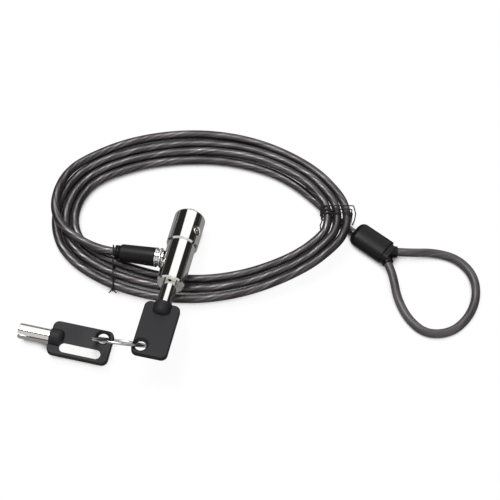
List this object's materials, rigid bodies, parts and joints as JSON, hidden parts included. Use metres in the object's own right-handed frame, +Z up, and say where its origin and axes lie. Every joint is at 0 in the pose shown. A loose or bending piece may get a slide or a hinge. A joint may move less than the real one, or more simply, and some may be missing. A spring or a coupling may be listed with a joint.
{
  "type": "laptop cable lock",
  "caption": "Chromed keyed barrel lock with a swivelling black vinyl-coated steel cable, coiled and tied, a looped far end and keys on a wire ring.",
  "frame": {"origin": "bottom centre of the box round the lock head with its keys and ring, on the surface they lie on", "axes": "+Z up, +Y away from the viewer and roughly along the lock's barrel towards its nose, +X to the right, where the looped end lies"},
  "size_m": [0.2652, 0.1601, 0.0305],
  "materials": {
    "bright_chrome": "polished",
    "bright_nickel": "polished",
    "ring_steel": "bright",
    "hardened_steel": "satin",
    "brass": "satin",
    "black_rubber": "matt",
    "black_plastic": "fine grain",
    "white_plastic": "satin",
    "black_boot": "satin moulded",
    "black_sleeve": "glossy moulded",
    "smoky_vinyl": "clear dark vinyl over twisted strand",
    "tie_wire": "coated wire"
  },
  "bodies": {
    "lock": {"lock_body": "bright_chrome", "head_sleeve": "bright_chrome", "nose_pad": "black_rubber", "guard_block": "hardened_steel", "cross_pin": "bright_nickel", "pin_shell": "brass", "swivel_stud": "bright_chrome", "driver_pin_1": "brass", "driver_pin_2": "brass", "driver_pin_3": "brass", "driver_pin_4": "brass", "driver_pin_5": "brass", "driver_pin_6": "brass", "driver_pin_7": "brass"},
    "core": {"plug_core": "brass", "core_clip": "hardened_steel", "locking_bar": "hardened_steel", "key_pin_1": "brass", "key_pin_2": "brass", "key_pin_3": "brass", "key_pin_4": "brass", "key_pin_5": "brass", "key_pin_6": "brass", "key_pin_7": "brass"},
    "key": {"key_barrel": "bright_nickel", "key_bow": "black_plastic", "key_tag": "white_plastic"},
    "ring": {"key_ring": "ring_steel"},
    "spare": {"spare_key_barrel": "bright_nickel", "spare_key_bow": "black_plastic", "spare_key_tag": "white_plastic"},
    "cable": {"swivel_ferrule": "bright_chrome", "strain_relief": "black_boot", "cable_lead": "smoky_vinyl", "cable_coil": "smoky_vinyl", "cable_tail": "smoky_vinyl", "crimp_sleeve": "black_sleeve", "sleeve_collar": "black_sleeve", "cable_eye": "smoky_vinyl", "tie_left": "tie_wire", "tie_right": "tie_wire"}
  },
  "joints": [
    {"name": "key_turn", "type": "hinge", "parent": "lock", "child": "core", "pos_m": [0.03354, -0.00134, 0.01656], "axis": [0.2155, 0.9639, -0.1564], "range_deg": [0, 90]},
    {"name": "key_pull", "type": "slide", "parent": "core", "child": "key", "axis": [-0.2155, -0.9639, 0.1564], "range_m": [0, 0.02]},
    {"name": "ring_swing", "type": "hinge", "parent": "key", "child": "ring", "pos_m": [0.01866, -0.04224, 0.02339], "axis": [-0.6052, -0.2627, 0.7515], "range_deg": [-12, 25]},
    {"name": "spare_swing", "type": "hinge", "parent": "ring", "child": "spare", "pos_m": [-0.0041, -0.03005, 0.0055], "axis": [-0.7377, -0.1917, 0.6473], "range_deg": [-25, 25]},
    {"name": "cable_swivel", "type": "hinge", "parent": "lock", "child": "cable", "pos_m": [0.03735, 0.01572, 0.01379], "axis": [0.9735, -0.1995, 0.1118], "range_deg": [0, 50]}
  ]
}
